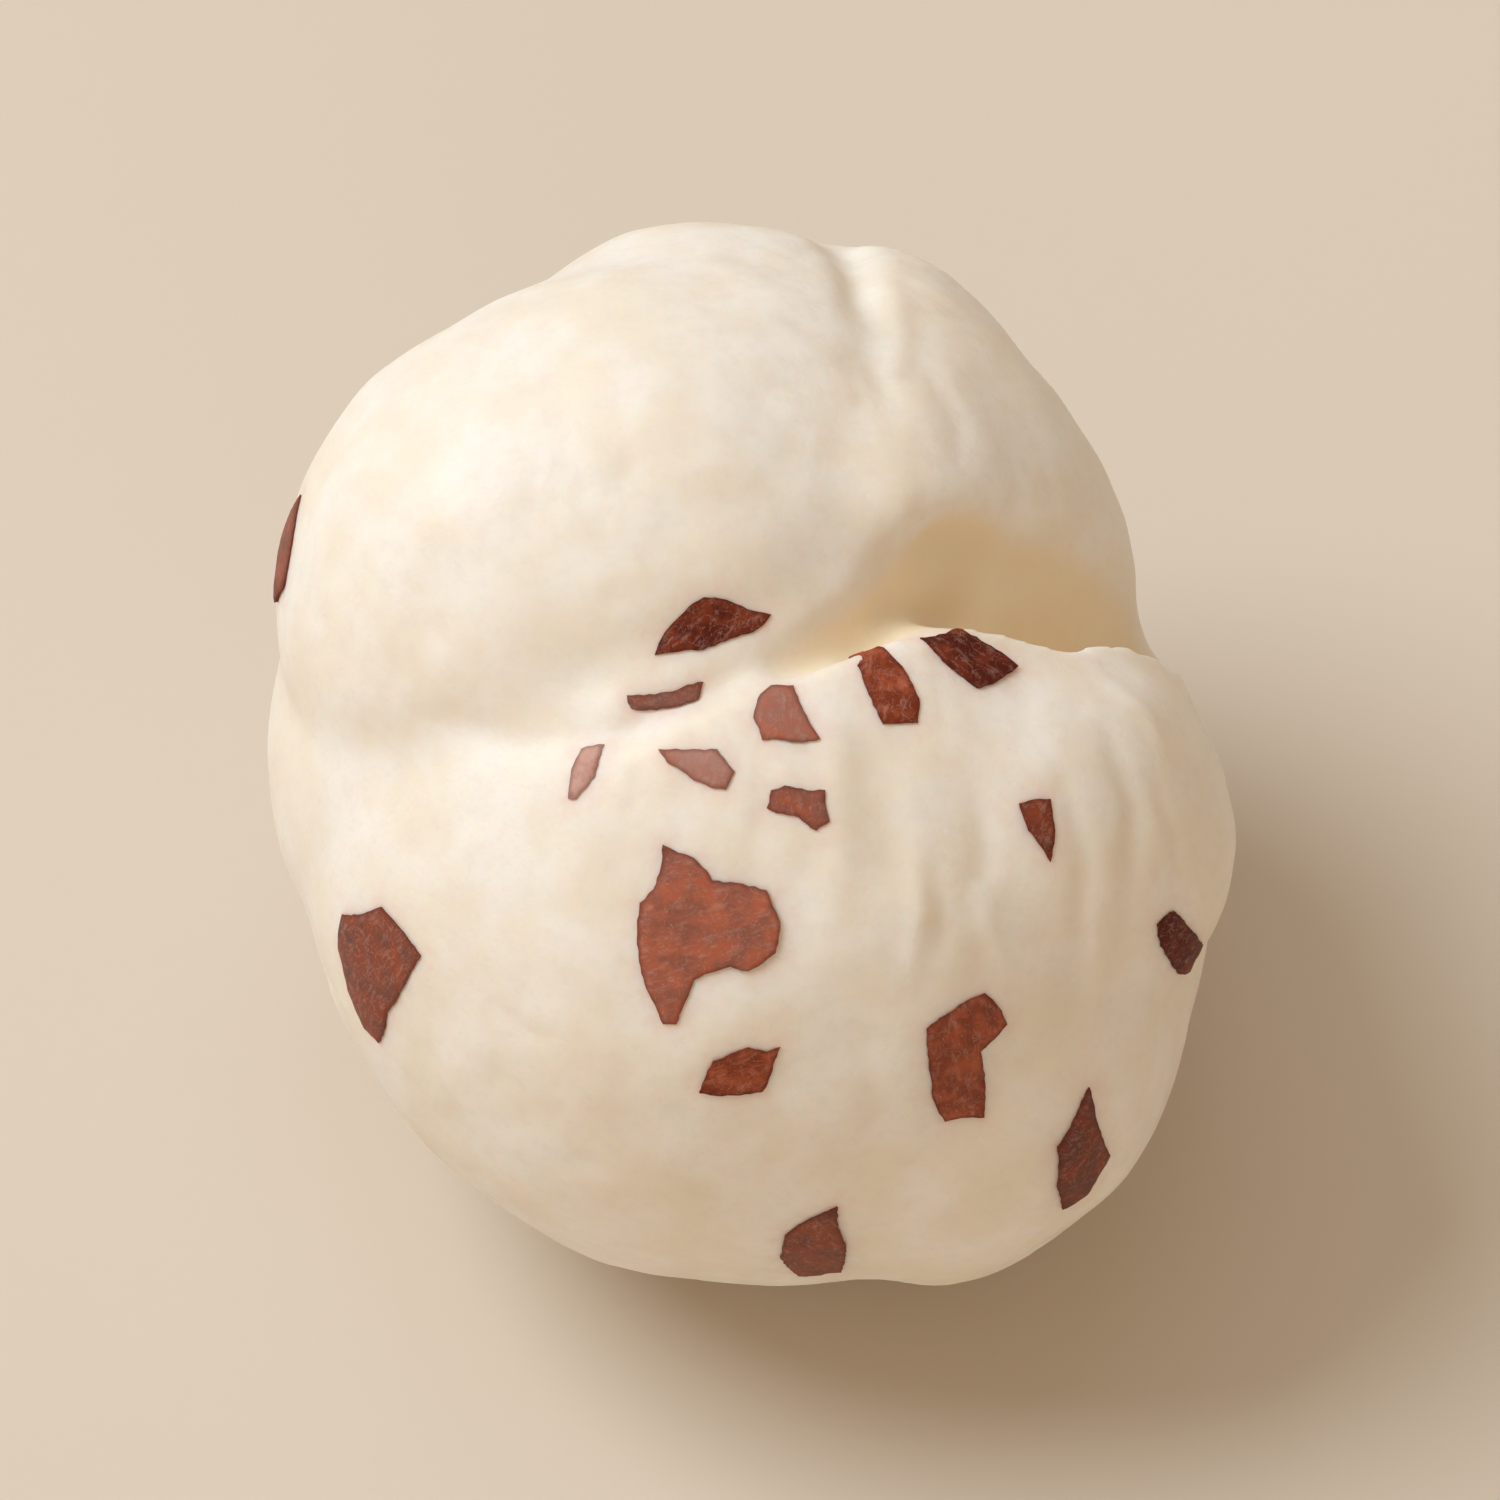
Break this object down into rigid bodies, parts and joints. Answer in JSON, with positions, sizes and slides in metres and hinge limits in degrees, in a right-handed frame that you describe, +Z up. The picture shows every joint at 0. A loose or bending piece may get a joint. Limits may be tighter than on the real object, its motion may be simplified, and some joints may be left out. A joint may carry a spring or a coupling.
{
  "type": "fox nut",
  "caption": "Popped fox nut: a lobed white kernel with a deep curled fold and torn flakes of red-brown seed coat, resting on a small flat spot.",
  "frame": {"origin": "on the surface that the nut lies on, under the middle of its bounding box", "axes": "+Z up; the face with the cleft looks towards -Y and up; +X to the right as that face is seen"},
  "size_m": [0.022, 0.023, 0.0212],
  "materials": {
    "popped_kernel": "satin",
    "seed_coat": "satin"
  },
  "bodies": {
    "root": {"fox_nut": "popped_kernel"}
  },
  "joints": []
}
